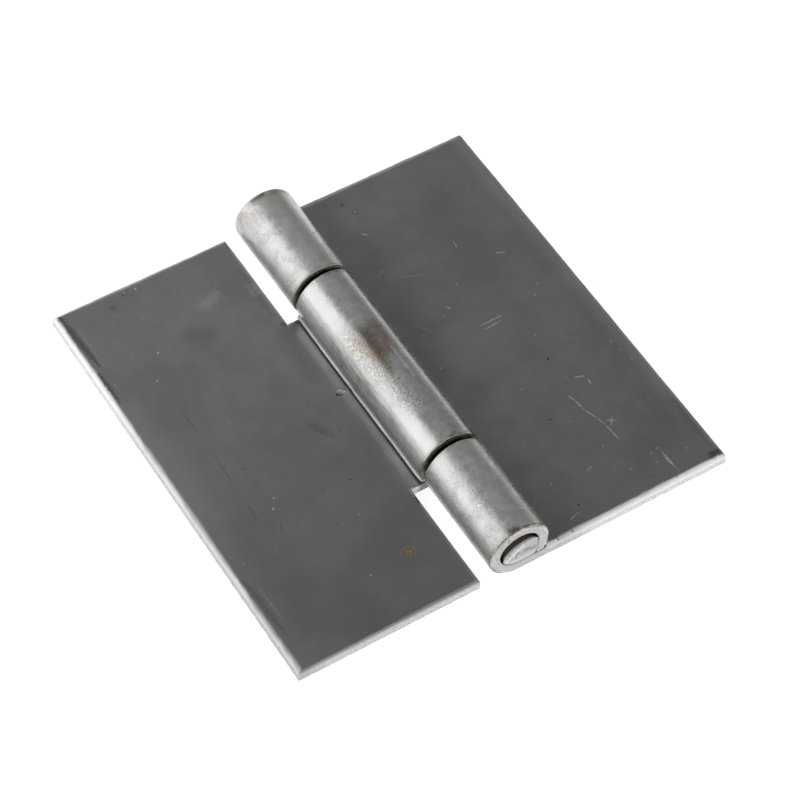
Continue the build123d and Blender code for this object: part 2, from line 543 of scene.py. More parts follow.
def two_knuckle_blank():
    """Flat blank of the right leaf, with a tongue at each end, and how far round they are rolled."""
    near_end, near_gap = NEAR_KNUCKLE
    far_gap, far_end = FAR_KNUCKLE
    length = tongue_length(OUTER_ROUND_END)
    edges = [
        Edge(0, LEAF_WIDTH, NEAR_SIDE, FAR_SIDE, -1, (1.0, 0.35), PLATE_LOWER, 0.25),
        Edge(1, NEAR_SIDE, PLATE_START - 1.5, LEAF_WIDTH, 1, (1.0, 0.66), PLATE_LOWER, 1.0, crisp=4.0),
        Edge(1, FAR_SIDE, PLATE_START, LEAF_WIDTH, -1, (1.0, 0.35), PLATE_LOWER, 0.25),
        Edge(0, PLATE_START, near_gap, far_gap, 1, SLOT_UPPER, SLOT_LOWER, 0.3),
        Edge(1, near_end, -length, PLATE_START - 1.5, 1, (0.3, 0.2), (0.28, 0.18), 0.3),
        Edge(1, far_end, -length, PLATE_START, -1, (0.3, 0.2), (0.5, 0.3), 0.3),
        Edge(1, near_gap, -length, PLATE_START, -1, RIM_INNER, RIM_OUTER, 0.3),
        Edge(1, far_gap, -length, PLATE_START, 1, RIM_INNER, RIM_OUTER, 0.3),
        Edge(0, -length, near_end, far_end, 1, (0.15, 0.1), (0.2, 0.1), 0.0),
    ]
    return Blank([NEAR_KNUCKLE, FAR_KNUCKLE], length, edges, 311), 270 + OUTER_ROUND_END


# The pin


def pin_outline(share):
    """Section of the pin as x and z: round at share 0, pressed oval and filling the bore below at share 1.

    The bore has a square corner below on the right, where the curl comes down on the leaf.
    """
    turn = np.linspace(0, 2 * math.pi, RING_POINTS, endpoint=False)
    lean = math.radians(OVAL_LEAN)
    seat = BORE_RADIUS - PIN_SEAT_GAP
    low = np.sin(turn) < 0
    wide = OVAL_HALF_WIDTH * np.cos(turn)
    tall = np.where(low, 2 * seat, OVAL_HALF_HEIGHT) * np.sin(turn) - OVAL_DROP
    oval = np.column_stack([wide * math.cos(lean) - tall * math.sin(lean),
                            wide * math.sin(lean) + tall * math.cos(lean)])
    corner = (oval[:, 0] > 0) & (oval[:, 1] < 0)
    power = np.where(corner, 7, 2)
    too_far = (np.abs(oval[:, 0]) ** power + np.abs(oval[:, 1]) ** power) ** (1 / power) / seat
    oval /= np.maximum(too_far, 1)[:, None]
    round_rod = PIN_RADIUS * np.column_stack([np.cos(turn + lean), np.sin(turn + lean)])
    return round_rod + (oval - round_rod) * share + np.array([0, BARREL_RADIUS])


def pin_mesh():
    """The cropped rod: round along its middle and pressed oval at both ends, with rough, crowned faces."""
    rings = []
    round_half = PIN_HALF_LENGTH - PRESSED_LENGTH
    for place in np.linspace(-round_half, round_half, ROUND_RINGS):
        rings.append(np.insert(pin_outline(0.0), 1, place, axis=1))
    for share in np.linspace(0.1, 1.0, PRESSED_RINGS):
        place = round_half + share * (PRESSED_LENGTH - PIN_RIM)
        rings.append(np.insert(pin_outline(share), 1, place, axis=1))
    for turn in np.linspace(15, 90, RIM_RINGS):
        back = PIN_RIM * (1 - math.sin(math.radians(turn)))
        shrink = 1 - PIN_RIM * (1 - math.cos(math.radians(turn))) / OVAL_HALF_HEIGHT
        rings.append(face_ring(shrink, PIN_HALF_LENGTH - back, 0.0))
    flat_share = 1 - PIN_RIM / OVAL_HALF_HEIGHT
    for share in np.linspace(0.96, 0.04, FACE_RINGS):
        rings.append(face_ring(flat_share * share, PIN_HALF_LENGTH, min(1.0, (1 - share) * 6)))
    far = rings[ROUND_RINGS:]
    near = [ring * np.array([1, -1, 1]) for ring in far]
    ordered = near[::-1] + rings[:ROUND_RINGS] + far
    count = RING_POINTS
    points = np.concatenate(ordered + [ordered[0].mean(axis=0)[None], ordered[-1].mean(axis=0)[None]])
    points[:, 1] += PIN_MIDDLE
    faces = []
    for r in range(len(ordered) - 1):
        for k in range(count):
            after = (k + 1) % count
            faces.append((r * count + k, r * count + after, (r + 1) * count + after, (r + 1) * count + k))
    last = (len(ordered) - 1) * count
    for k in range(count):
        after = (k + 1) % count
        faces.append((after, k, len(points) - 2))
        faces.append((last + k, last + after, len(points) - 1))
    mesh = bpy.data.meshes.new("hinge_pin_pressed")
    mesh.from_pydata((points * MM).tolist(), [], faces)
    return mesh


def face_ring(share, place, rough):
    """A ring on the pin's end face, drawn in to a share of the oval, with the uneven crop marks."""
    lean = math.radians(OVAL_LEAN)
    centre = np.array([OVAL_DROP * math.sin(lean), BARREL_RADIUS - OVAL_DROP * math.cos(lean)])
    ring = centre + (pin_outline(1.0) - centre) * share
    wave = 0.05 * wander(ring[:, 0] * 1.0 + ring[:, 1] * 0.45, 0.9, 701)
    wave += 0.05 * wander(ring[:, 1] - ring[:, 0] * 0.25, 0.6, 702)
    wave -= 0.03 * (ring[:, 0] / OVAL_HALF_WIDTH) ** 2
    depth = np.clip(0.06 - wave, 0, 0.2) * rough
    return np.column_stack([ring[:, 0], place - depth, ring[:, 1]])


# Steel finishes


def mark_group():
    """Group that gives 1 on a mark drawn from a start to an end, and 0 away from it."""
    group = bpy.data.node_groups.new("mark from start to end", "ShaderNodeTree")
    for name in ("Place", "Start", "End"):
        group.interface.new_socket(name, in_out="INPUT", socket_type="NodeSocketVector")
    for name in ("Half width", "Softness", "Taper", "Ragged", "Uneven"):
        group.interface.new_socket(name, in_out="INPUT", socket_type="NodeSocketFloat")
    group.interface.new_socket("Mark", in_out="OUTPUT", socket_type="NodeSocketFloat")
    bench = Bench(group)
    given = bench.node("NodeGroupInput").outputs
    away = bench.vector("SUBTRACT", given["Place"], given["Start"])
    line = bench.vector("SUBTRACT", given["End"], given["Start"])
    share = bench.math("DIVIDE", bench.vector("DOT_PRODUCT", away, line, out="Value"),
                       bench.vector("DOT_PRODUCT", line, line, out="Value"), clamp=True)
    nearest = bench.vector("SCALE", line, share)
    distance = bench.vector("LENGTH", bench.vector("SUBTRACT", away, nearest), out="Value")
    ends = bench.times(bench.minus(share, 0.5), 2.0)
    slim = bench.times(bench.times(ends, ends), given["Taper"])
    width = bench.times(given["Half width"], bench.minus(1.0, slim))
    reach = bench.math("DIVIDE", distance, width)
    reach = bench.math("MULTIPLY_ADD", given["Ragged"], given["Uneven"], reach)
    edge = bench.minus(1.0, given["Softness"])
    bench.node("NodeGroupOutput", {"Mark": bench.fade(reach, 1.0, edge)})
    return group


class Finish:
    """The steel of one piece: its colour, roughness and share of metal, to which each layer adds.

    The marks are placed in millimetres on the piece itself.
    """

    def __init__(self, name, mark_tree):
        self.material = bpy.data.materials.new(name)
        self.material.use_nodes = True
        self.bench = Bench(self.material.node_tree)
        self.mark_tree = mark_tree
        self.base = None
        self.rough = None
        self.metal = 1.0
        self.scuff = 0.0
        self.in_metres = self.bench.node("ShaderNodeTexCoord").outputs["Object"]
        self.place = self.bench.vector("SCALE", self.in_metres, 1 / MM)
        self.parts = self.bench.node("ShaderNodeSeparateXYZ", {"Vector": self.place}).outputs
        self.ragged = self.bench.minus(self.noise(0.55, 3.0, 0.65, seed=21), 0.5)

    def value(self, name):
        return self.bench.node("ShaderNodeAttribute", attribute_name=name).outputs["Fac"]

    def pattern_place(self, size, seed, stretch=(1.0, 1.0, 1.0)):
        """The place on the piece for a pattern whose parts are about the given size in millimetres."""
        shift = tuple(seed * way / size for way in (7.31, 3.17, 5.93))
        scale = tuple(way / (size * MM) for way in stretch)
        return self.bench.node("ShaderNodeMapping", {"Vector": self.in_metres, "Location": shift,
                                                     "Scale": scale})

    def noise(self, size, detail=2.0, roughness=0.5, seed=0.0, stretch=(1.0, 1.0, 1.0)):
        """Cloudy noise from 0 to 1."""
        made = self.bench.node("ShaderNodeTexNoise", {"Vector": self.pattern_place(size, seed, stretch),
                                                      "Scale": 1.0, "Detail": detail,
                                                      "Roughness": roughness})
        return made.outputs["Fac"]

    def mark(self, start, end, half_width, softness=0.5, taper=0.0, uneven=1.0):
        """A mark from start to end. It lies on the upper face of the leaves where they give no height."""
        given = {"Place": self.place, "Start": (*start, TOP)[:3], "End": (*end, TOP)[:3],
                 "Half width": half_width, "Softness": softness, "Taper": taper, "Ragged": self.ragged,
                 "Uneven": uneven}
        group = self.bench.node("ShaderNodeGroup", node_tree=self.mark_tree)
        for key, value in given.items():
            self.bench.join(value, group.inputs[key])
        return group.outputs[0]

    def marks(self, rows):
        """The strongest of several marks at each place. A row holds what mark() is given."""
        most = 0.0
        for row in rows:
            most = self.bench.most(self.mark(*row), most)
        return most

    def scratches(self, lines, half_width, uneven=0.8):
        """Thin tapered lines on the upper face, each from one place to another."""
        return self.marks([(start, end, half_width, 0.7, 0.8, uneven) for start, end in lines])

    def dots(self, places, radius, softness=0.5, uneven=1.0):
        """Round ragged dots on the upper face."""
        return self.marks([(place, place, radius, softness, 0.0, uneven) for place in places])

    def specks(self, spacing, size, share, seed):
        """Small scattered specks of uneven size, in a share of the cells of a cell pattern."""
        bench = self.bench
        place = self.pattern_place(spacing, seed)
        cell = bench.node("ShaderNodeTexVoronoi", {"Vector": place, "Scale": 1.0})
        chance = bench.node("ShaderNodeSeparateColor", {"Color": cell.outputs["Color"]}).outputs
        radius = bench.times(bench.plus(0.35, chance["Green"]), size / spacing)
        dot = bench.fade(bench.math("DIVIDE", cell.outputs["Distance"], radius), 1.0, 0.5)
        return bench.times(dot, bench.math("LESS_THAN", chance["Red"], share))

    def toned(self, under, mark, strength, tone, how="MIX"):
        """A colour with a tone laid over it where the mark is."""
        return self.bench.blend(self.bench.times(mark, strength), under, tone, how)

    def paint(self, mark, strength, tone):
        """Covers the steel with a tone where the mark is."""
        self.base = self.toned(self.base, mark, strength, tone)

    def tint(self, mark, strength, tone):
        """Darkens the steel by a tone where the mark is, so that what is under it still shows."""
        self.base = self.toned(self.base, mark, strength, tone, "MULTIPLY")

    def dull(self, mark, much):
        """Makes the steel rougher where the mark is."""
        self.rough = self.bench.plus(self.rough, self.bench.times(mark, much))

    def rust(self, mark, strength, tone):
        """Rust: a dull brown tone that is hardly metal."""
        self.paint(mark, strength, tone)
        self.dull(mark, 0.3)
        self.metal = self.bench.minus(1.0, self.bench.times(mark, 0.8))

    def surface(self, bumps):
        """The finished material. Each bump is a height pattern and its depth in millimetres."""
        bench = self.bench
        normal = None
        for height, depth in bumps:
            bump = bench.node("ShaderNodeBump", {"Height": height, "Distance": depth * MM, "Strength": 1.0})
            if normal is not None:
                bench.join(normal, bump.inputs["Normal"])
            normal = bump.outputs[0]
        steel = bench.node("ShaderNodeBsdfPrincipled", {"Base Color": self.base, "Metallic": self.metal,
                                                        "Roughness": self.rough, "Normal": normal})
        bench.node("ShaderNodeOutputMaterial", {"Surface": steel})
        return self.material


class LeafFinish(Finish):
    """Steel of a leaf, which knows where the sheet is rolled, sheared, torn or worn."""

    def __init__(self, name, mark_tree):
        super().__init__(name, mark_tree)
        bench = self.bench
        blank = bench.node("ShaderNodeAttribute", attribute_name="blank").outputs["Vector"]
        in_mm = bench.vector("SCALE", blank, 1 / MM)
        self.on_blank = bench.node("ShaderNodeSeparateXYZ", {"Vector": in_mm}).outputs
        self.sheared = self.value("sheared")
        self.torn = self.value("torn")
        self.worn = self.value("worn")
        outside = bench.fade(self.on_blank["Z"], 0.9, 0.3)
        self.rolled = bench.times(bench.fade(self.on_blank["X"], 1.0, -1.5), outside)
        self.flat = bench.minus(1.0, self.rolled)
        self.cloud = self.noise(12.0, 3.0, 0.55, seed=1)
        self.patch = self.noise(3.2, 4.0, 0.6, seed=2)
        self.blotch = self.noise(1.3, 3.0, 0.6, seed=7)
        self.grain = self.noise(0.32, 3.0, 0.6, seed=3)


def mill_scale(steel, dark_tone, pale_tone):
    """Dark scale of the flat sheet, with fainter and darker patches and a few small pits and nicks."""
    bench = steel.bench
    scale = bench.blend(bench.fade(steel.cloud, 0.3, 0.7), dark_tone, pale_tone)
    scale = steel.toned(scale, bench.fade(steel.patch, 0.35, 0.7), 0.55, grey(0.90), "MULTIPLY")
    scale = steel.toned(scale, bench.fade(steel.blotch, 0.55, 0.75), 0.5, grey(1.10), "MULTIPLY")
    scale = steel.toned(scale, steel.specks(2.3, 0.16, 0.35, 1), 0.55, grey(0.10))
    return steel.toned(scale, steel.specks(2.0, 0.13, 0.35, 2), 0.5, grey(0.62))


def burnished_steel(steel):
    """Outside of the knuckles, burnished by the rolling tool, and duller where the tool pressed less."""
    bench = steel.bench
    bright = bench.blend(bench.fade(steel.blotch, 0.3, 0.7), (0.500, 0.500, 0.495), (0.575, 0.575, 0.572))
    bright = steel.toned(bright, bench.fade(steel.patch, 0.45, 0.75), 0.5, (0.80, 0.80, 0.785), "MULTIPLY")
    return steel.toned(bright, steel.specks(1.1, 0.09, 0.35, 3), 0.5, grey(0.22))


def sheared_wall(steel):
    """Walls of the blank: smooth where the punch cut, paler and rougher where the sheet tore, with a ragged
    dark line at the bottom that is partly painted shade and partly the torn steel.
    """
    bench = steel.bench
    cut_tone = bench.blend(bench.fade(steel.grain, 0.38, 0.62), grey(0.54), grey(0.80))
    torn_tone = bench.blend(bench.fade(steel.grain, 0.32, 0.62), (0.56, 0.56, 0.545), grey(0.88))
    wall = bench.blend(bench.fade(steel.torn, 0.35, 0.5), cut_tone, torn_tone)
    wall = steel.toned(wall, steel.specks(1.1, 0.25, 0.5, 4), 0.75, grey(0.20))
    # partly painted shade: a ragged dark line along the bottom of the wall
    lowest = bench.times(bench.fade(steel.torn, 0.9, 1.0), bench.fade(steel.grain, 0.45, 0.6))
    return steel.toned(wall, lowest, 0.7, grey(0.22))


def bare_edges(steel):
    """The sheared walls, and the bands beside them where the drawn-in upper face is worn bare."""
    bench = steel.bench
    wall = sheared_wall(steel)
    bare = bench.times(steel.worn, bench.fade(steel.grain, 0.25, 0.4, 0.55, 1.0))
    steel.base = bench.blend(bare, steel.base, grey(0.90))
    worn_specks = bench.times(steel.specks(1.3, 0.24, 0.4, 5), bench.fade(steel.worn, 0.3, 0.7))
    steel.paint(worn_specks, 0.75, grey(0.2))
    steel.base = bench.blend(bench.fade(steel.sheared, 0.3, 0.8), steel.base, wall)


def knuckle_gaps(steel):
    """Grime along the knuckles' rims beside the gaps, and painted shade that makes the walls inside the gaps
    nearly black.
    """
    bench = steel.bench
    away = bench.math("MINIMUM", *[bench.math("ABSOLUTE", bench.minus(steel.on_blank["Y"], gap))
                                   for gap in KNUCKLE_GAPS])
    uneven = bench.times(bench.minus(steel.blotch, 0.5), 2.4)
    near_barrel = bench.fade(steel.on_blank["X"], 3.0, 0.0)
    rims = bench.times(bench.fade(bench.plus(away, uneven), 1.5, 0.6), near_barrel)
    walls = bench.times(bench.fade(away, 0.62, 0.54), near_barrel)
    walls = bench.times(walls, bench.fade(steel.sheared, 0.3, 0.8))
    steel.tint(rims, 0.75, (0.50, 0.46, 0.36))
    # painted shade: the walls inside the knuckle gaps are painted nearly black
    steel.paint(walls, 0.97, (0.018, 0.016, 0.013))
    return walls


def leaf_roughness(steel, shaded_gap_walls):
    """Dull scale, smoother knuckles, rough torn walls, and rougher walls inside the knuckle gaps."""
    bench = steel.bench
    rough = bench.plus(bench.fade(steel.patch, 0.2, 0.8, 0.34, 0.42),
                       bench.fade(steel.grain, 0.2, 0.8, -0.03, 0.03))
    on_knuckles = bench.plus(bench.fade(steel.blotch, 0.3, 0.7, 0.24, 0.34),
                             bench.fade(steel.patch, 0.3, 0.7, -0.02, 0.05))
    rough = bench.plus(rough, bench.times(steel.rolled, bench.minus(on_knuckles, rough)))
    steel.rough = bench.most(rough, bench.times(bench.fade(steel.torn, 0.35, 0.5), 0.55))
    steel.dull(shaded_gap_walls, 0.4)


def leaf_finish(name, mark_tree, scale_tones, layers):
    """Dark rolled sheet, burnished on the knuckles and bare where it was sheared, with its own marks."""
    steel = LeafFinish(name, mark_tree)
    bench = steel.bench
    scale = mill_scale(steel, *scale_tones)
    steel.base = bench.blend(steel.rolled, scale, burnished_steel(steel))
    bare_edges(steel)
    leaf_roughness(steel, knuckle_gaps(steel))
    for layer in layers:
        layer(steel)
    ripple = bench.times(steel.noise(0.9, 2.0, 0.5, seed=8), steel.rolled)
    scuffed = bench.times(bench.times(steel.grain, steel.rolled), bench.plus(steel.scuff, 0.22))
    tear = bench.times(steel.noise(0.22, 3.0, 0.7, seed=6), bench.fade(steel.torn, 0.3, 0.5))
    return steel.surface([(steel.noise(0.18, 2.0, 0.5, seed=5), 0.003), (ripple, 0.03),
                          (scuffed, 0.035), (tear, 0.12)])


# Marks on the left leaf and the middle knuckle


def left_tones(steel):
    """Painted light on the flat: paler along the free edge towards the far end and darker towards the near
    end as painted shade, with faint patches and a faint red tint by the far edge.
    """
    bench = steel.bench
    y = steel.parts["Y"]
    # painted light: paler along the free edge towards the far end
    pale_edge = bench.fade(bench.plus(steel.parts["X"], bench.times(steel.ragged, 3.0)), -34.0, -38.5)
    steel.paint(bench.times(pale_edge, bench.fade(y, 24.0, 10.0)), 0.35, grey(0.42))
    # painted shade: darker towards the near end
    steel.tint(bench.times(bench.fade(y, 12.0, -34.0), steel.flat), 0.9, grey(0.82))
    steel.tint(steel.marks([((-21.7, 25.0), (-20.0, 24.0), 3.2, 0.9, 0, 0.8),
                            ((-8.0, 17.5), (-8.6, 8.0), 3.4, 0.9, 0, 0.6),
                            ((-14.0, -1.0), (-12.5, -4.0), 1.2, 0.9, 0, 1.0)]), 0.8, grey(0.80))
    steel.paint(steel.marks([((-17.0, 29.5), (-14.5, 30.5), 1.6, 0.8, 0, 2.0),
                             ((-8.5, 27.5), (-8.2, 29.0), 1.3, 0.8, 0, 2.0)]), 0.45, grey(0.48))
    steel.tint(steel.mark((-26.7, 38.3), (-26.0, 38.0), 2.0, 0.95, 0, 1.0), 0.42, (0.98, 0.74, 0.70))
    steel.tint(steel.dots([(-30.3, 36.7), (-38.6, 36.0)], 1.1, 0.95, 1.0), 0.5, (0.72, 0.66, 0.60))


def left_scratches(steel):
    """Dark scratches in line with the rolling, and small pits and nicks."""
    dark = steel.scratches([((-30.8, 2.7), (-30.9, -4.1)), ((-30.9, 12.6), (-30.8, 6.8)),
                            ((-31.1, -8.7), (-31.0, -12.5)), ((-28.2, -14.6), (-29.0, -15.9)),
                            ((-14.5, -1.5), (-13.2, -3.7)), ((-31.1, 34.6), (-30.8, 33.6))], 0.24)
    steel.paint(dark, 0.35, grey(0.13))
    pits = [(-10.9, -3.9), (-28.1, -2.5), (-14.5, -13.0), (-27.6, 38.3)]
    steel.paint(steel.dots(pits, 0.22), 0.75, grey(0.06))
    nicks = [(-19.9, -19.8), (-12.0, -16.9), (-37.1, -18.4), (-18.9, -36.9), (-19.1, -13.5), (-16.8, -19.5),
             (-31.0, 1.0), (-25.5, 6.5), (-29.0, 12.5), (-27.1, 32.4), (-32.6, 26.1), (-17.9, 39.4),
             (-28.6, 39.2)]
    steel.paint(steel.dots(nicks, 0.22, 0.8, 2.8), 0.5, grey(0.60))
    bright_nicks = [(-26.8, -9.9), (-27.9, -11.7), (-24.1, -12.9), (-21.2, -30.3), (-28.5, 24.7),
                    (-25.2, 38.4), (-27.3, 38.6), (-31.4, 19.8)]
    steel.paint(steel.dots(bright_nicks, 0.24, 0.9, 2.8), 0.85, grey(0.80))


def left_burrs(steel):
    """Burrs, stains and light scratches beside the free edge, and a streak beside the slot."""
    burrs = steel.marks([((-39.0, 40.5), (-38.0, 27.0), 0.95, 0.9, 0.8, 1.5),
                         ((-38.8, 26.0), (-38.7, 19.0), 0.5, 0.9, 0.6, 4.0)])
    steel.paint(burrs, 0.75, (0.125, 0.128, 0.108))
    steel.paint(steel.mark((-38.7, -20.5), (-37.9, -33.0), 0.7, 0.9, 0.8, 3.0), 0.4, (0.135, 0.135, 0.110))
    light = steel.scratches([((-37.4, 35.5), (-37.3, 29.0)), ((-37.8, 24.0), (-37.6, 20.5)),
                             ((-37.3, -23.0), (-37.0, -30.0))], 0.18, 4.0)
    steel.paint(light, 0.35, grey(0.55))
    steel.paint(steel.dots([(-38.9, 39.0), (-7.6, 19.3)], 0.9, 0.9, 1.0), 0.7, (0.11, 0.11, 0.10))
    steel.paint(steel.mark((-8.3, 33.5), (-8.5, 21.8), 0.45, 0.9, 0.3, 2.0), 0.4, (0.18, 0.185, 0.16))


def left_rust(steel):
    """Rust spot on the flat, dark brown with lighter grains."""
    spot = steel.mark((-14.1, -29.2), (-13.4, -29.6), 0.95, 0.8, 0, 3.2)
    brown = steel.bench.blend(steel.bench.fade(steel.grain, 0.40, 0.62), (0.085, 0.045, 0.018),
                              (0.34, 0.20, 0.045))
    steel.rust(spot, 0.9, brown)


def left_gouge(steel):
    """Gouge beside the barrel: a painted highlight on its far side and painted shade on its near wall."""
    # painted highlight on the far side of the gouge
    steel.paint(steel.mark((-7.2, 3.0), (-6.6, 2.95), 0.5, 0.5, 0, 1.0), 0.6, grey(0.62))
    # painted shade on the near wall of the gouge
    gouge_wall_shade = steel.marks([((-7.42, 2.48, 1.94), (-6.95, 2.22, 1.94), 0.45, 0.4, 0, 0.4),
                             ((-6.95, 2.2, 1.96), (-6.2, 2.26, 1.96), 0.36, 0.4, 0.3, 0.4)])
    steel.paint(gouge_wall_shade, 0.95, grey(0.02))


def left_barrel_line(steel):
    """The barrel sits on a dark line of painted contact shade with some grime, and a painted reflection of
    the barrel makes the leaf brighter next to it.
    """
    bench = steel.bench
    x = steel.parts["X"]
    wavy = bench.times(bench.minus(steel.noise(4.0, 2.0, 0.5, seed=17), 0.5), 1.2)
    # painted reflection: the barrel's bright side mirrored in the leaf beside it
    barrel_reflection = bench.fade(bench.plus(x, wavy), -7.1, -6.95)
    barrel_reflection = bench.times(barrel_reflection, bench.fade(bench.math("ABSOLUTE", steel.parts["Y"]), 17.2, 16.2))
    steel.paint(bench.times(barrel_reflection, steel.flat), 0.6, grey(0.36))
    # painted contact shade with some grime, where the curl's end comes down on the leaf
    contact_shade_and_grime = bench.times(bench.fade(x, -5.95, -5.2), bench.fade(steel.parts["Z"], 2.1, 2.02))
    steel.paint(contact_shade_and_grime, 0.75, grey(0.10))


def middle_knuckle_scuffs(steel):
    """Scuffs along the top of the middle knuckle, with the steel there painted brighter as a painted
    highlight.
    """
    bench = steel.bench
    top = steel.mark((-3.6, 6.0, 9.8), (-1.4, -11.0, 10.8), 3.0, 0.8, 0.1, 0.9)
    steel.scuff = bench.times(top, 1.5)
    # painted highlight: the top, where the highlight falls, is painted brighter
    steel.paint(top, 0.45, (0.70, 0.70, 0.69))
    speckled = bench.times(top, bench.fade(steel.noise(0.36, 2.0, 0.6, seed=9), 0.42, 0.58))
    steel.tint(speckled, 0.85, (0.62, 0.62, 0.58))
    steel.dull(top, 0.07)


def middle_knuckle_stain(steel):
    """Brown stain on the top of the middle knuckle, which ends along a ragged line on its left."""
    bench = steel.bench
    right = bench.fade(bench.plus(steel.parts["X"], bench.times(steel.ragged, 0.9)), -2.1, -1.1)
    stain = bench.times(steel.mark((1.2, 5.6, 10.9), (0.4, 1.0, 10.9), 3.2, 0.8, 0.2, 0.8), right)
    steel.tint(stain, 0.8, (0.62, 0.52, 0.46))
    core = bench.times(steel.mark((-0.9, 5.6, 10.8), (-1.7, -3.0, 10.7), 2.0, 0.85, 0.15, 0.9), right)
    steel.tint(core, 0.9, (0.44, 0.40, 0.31))
    tan = steel.mark((-2.9, 5.5, 10.1), (-1.9, -0.5, 10.6), 1.7, 0.9, 0.3, 1.0)
    steel.tint(tan, 0.75, (0.88, 0.73, 0.63))


def middle_knuckle_sides(steel):
    """Light scratches, dark streaks low on the left side, and a painted highlight that makes the ends
    brighter on their left.
    """
    bench = steel.bench
    x = steel.parts["X"]
    y = steel.parts["Y"]
    light = steel.marks([((1.5, 0.9, 10.8), (1.5, -6.2, 10.8), 0.36, 0.8, 0.5, 3.8),
                         ((0.9, -19.42, 10.9), (3.6, -19.42, 9.7), 0.12, 0.6, 0.3, 1.0)])
    steel.paint(light, 0.7, grey(0.88))
    streaks = steel.noise(0.45, 2.0, 0.5, seed=14, stretch=(1.0, 0.08, 1.0))
    low_side = bench.times(bench.fade(x, -3.9, -4.9), steel.rolled)
    steel.tint(bench.times(low_side, bench.fade(streaks, 0.40, 0.56)), 0.7, (0.58, 0.61, 0.56))
    # painted highlight: the ends are painted brighter left of the top
    highlight_on_ends = bench.most(bench.fade(y, 6.0, 11.0), bench.fade(y, -9.0, -14.0))
    highlight_on_ends = bench.times(bench.times(highlight_on_ends, steel.rolled), bench.fade(x, -1.0, -2.6))
    steel.paint(highlight_on_ends, 0.5, (0.66, 0.66, 0.65))


# Marks on the right leaf and the outer knuckles


def right_tones(steel):
    """Broad tones of the flat: darker along the barrel as painted shade, paler towards the free edge."""
    bench = steel.bench
    x = steel.parts["X"]
    uneven = bench.times(bench.minus(steel.noise(5.0, 3.0, 0.6, seed=15), 0.5), 9.0)
    # painted shade: darker along the barrel
    barrel_shade = bench.fade(bench.plus(x, uneven), 17.0, 7.0)
    steel.tint(bench.times(barrel_shade, steel.flat), 0.85, grey(0.72))
    pale_edge = bench.times(bench.fade(bench.plus(x, bench.times(uneven, 0.3)), 36.5, 39.3),
                            bench.fade(steel.parts["Y"], -32.0, -20.0, 0.3, 1.0))
    steel.paint(pale_edge, 0.4, grey(0.46))


def right_scratches(steel):
    """Light scratches, one of them long and curved, and a few faint ones."""
    curve = [(24.6, -17.0), (25.1, -18.3), (25.3, -20.7), (26.2, -23.1), (26.6, -24.8), (26.9, -28.6)]
    lines = list(zip(curve, curve[1:]))
    lines += [((28.6, -24.0), (27.3, -25.6)), ((27.1, -24.2), (28.8, -25.2)), ((31.4, -33.6), (31.6, -38.6)),
              ((31.1, -34.6), (31.5, -37.6)), ((20.0, 2.5), (24.6, 2.5)), ((20.2, 1.4), (24.0, 1.7)),
              ((26.0, 20.1), (25.8, 18.7)), ((30.7, 14.3), (32.4, 13.6)), ((27.6, -14.4), (29.3, -15.0)),
              ((29.4, -15.6), (29.2, -17.0)), ((11.3, -37.5), (13.4, -37.0)), ((17.2, 8.9), (17.9, 7.9)),
              ((37.2, -10.9), (36.6, -11.4)), ((19.0, -31.0), (20.3, -30.6)), ((13.4, 29.4), (14.3, 28.6))]
    steel.paint(steel.scratches(lines, 0.13, 4.2), 0.75, grey(0.78))
    faint = [((14.0, 18.0), (18.5, 16.2)), ((18.0, -6.0), (22.6, -5.4)), ((30.0, -5.5), (33.0, -8.5)),
             ((10.5, 8.5), (13.0, 5.0)), ((22.0, -33.0), (25.5, -31.5)), ((34.9, 30.9), (34.5, 27.6)),
             ((33.0, -24.0), (34.6, -27.0)), ((12.0, -22.0), (15.0, -20.5))]
    steel.paint(steel.scratches(faint, 0.16, 3.0), 0.16, grey(0.60))


def right_nicks(steel):
    """Nicks, pits and a small dark ring on the flat."""
    nicks = [(9.8, -1.6), (33.2, 5.3), (26.9, -3.8), (37.0, -11.5), (26.6, -13.7), (12.6, -30.2),
             (31.2, -33.0), (17.7, 8.3), (16.0, 7.4), (31.5, 3.3), (21.5, 12.0), (18.8, -12.0),
             (29.8, -33.4), (37.9, -16.0), (37.2, -13.5), (12.0, 20.6), (29.6, -35.3), (35.2, -35.4),
             (23.9, -28.2), (22.0, -21.5), (25.2, -34.3)]
    steel.paint(steel.dots(nicks, 0.22, 0.8, 2.8), 0.6, grey(0.66))
    ring = (15.0, 34.1)
    steel.paint(steel.bench.times(steel.dots([ring], 0.75, 0.7, 0.6), 0.75), 0.9, grey(0.12))
    steel.paint(steel.dots([ring], 0.36, 0.6, 1.0), 0.9, grey(0.50))
    steel.paint(steel.dots([(13.85, 36.5)], 0.6, 0.9, 1.6), 0.7, grey(0.10))
    pits = [(14.1, -35.8), (30.8, -39.4), (19.5, -19.5), (26.0, -9.0)]
    steel.paint(steel.dots(pits, 0.28, 0.6, 1.2), 0.85, grey(0.04))


def right_edge_stains(steel):
    """Stains at the near corner and along the free edge, with a small rust spot."""
    steel.paint(steel.mark((39.2, -38.6), (38.0, -38.6), 1.0, 0.9, 0, 1.6), 0.8, (0.10, 0.10, 0.088))
    steel.tint(steel.mark((39.0, -37.0), (38.8, -26.0), 1.3, 0.9, 0.3, 1.2), 0.55, (0.80, 0.82, 0.72))
    steel.rust(steel.mark((39.6, 1.6), (39.7, 0.9), 0.5, 0.6, 0, 1.5), 0.8, (0.28, 0.15, 0.05))


